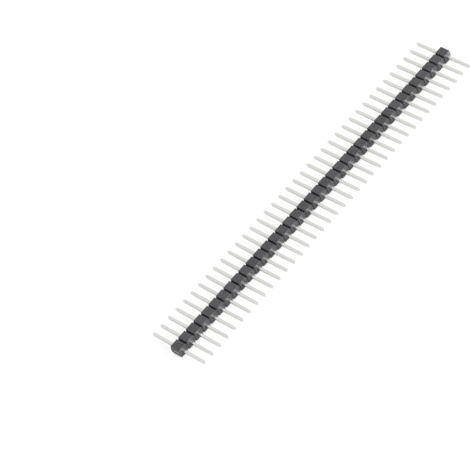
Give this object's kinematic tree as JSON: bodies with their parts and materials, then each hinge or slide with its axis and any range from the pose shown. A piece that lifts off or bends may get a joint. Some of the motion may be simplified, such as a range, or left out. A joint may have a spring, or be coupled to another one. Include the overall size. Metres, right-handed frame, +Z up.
{
  "type": "pin header strip",
  "caption": "Straight single-row breakaway pin header: square pins through a notched black housing, lying on its side with legs of equal length.",
  "frame": {"origin": "on the surface that the part lies on, under the middle of the housing", "axes": "+X along the row of pins, +Y along the pins to the rear legs, +Z up out of the surface"},
  "size_m": [0.0966, 0.0154, 0.0025],
  "materials": {
    "housing": "moulded black thermoplastic with a fine satin grain",
    "pins": "brass square wire with a pale satin tin plating"
  },
  "bodies": {
    "root": {"housing": "housing", "pin_01": "pins", "pin_02": "pins", "pin_03": "pins", "pin_04": "pins", "pin_05": "pins", "pin_06": "pins", "pin_07": "pins", "pin_08": "pins", "pin_09": "pins", "pin_10": "pins", "pin_11": "pins", "pin_12": "pins", "pin_13": "pins", "pin_14": "pins", "pin_15": "pins", "pin_16": "pins", "pin_17": "pins", "pin_18": "pins", "pin_19": "pins", "pin_20": "pins", "pin_21": "pins", "pin_22": "pins", "pin_23": "pins", "pin_24": "pins", "pin_25": "pins", "pin_26": "pins", "pin_27": "pins", "pin_28": "pins", "pin_29": "pins", "pin_30": "pins", "pin_31": "pins", "pin_32": "pins", "pin_33": "pins", "pin_34": "pins", "pin_35": "pins", "pin_36": "pins", "pin_37": "pins", "pin_38": "pins"}
  },
  "joints": []
}
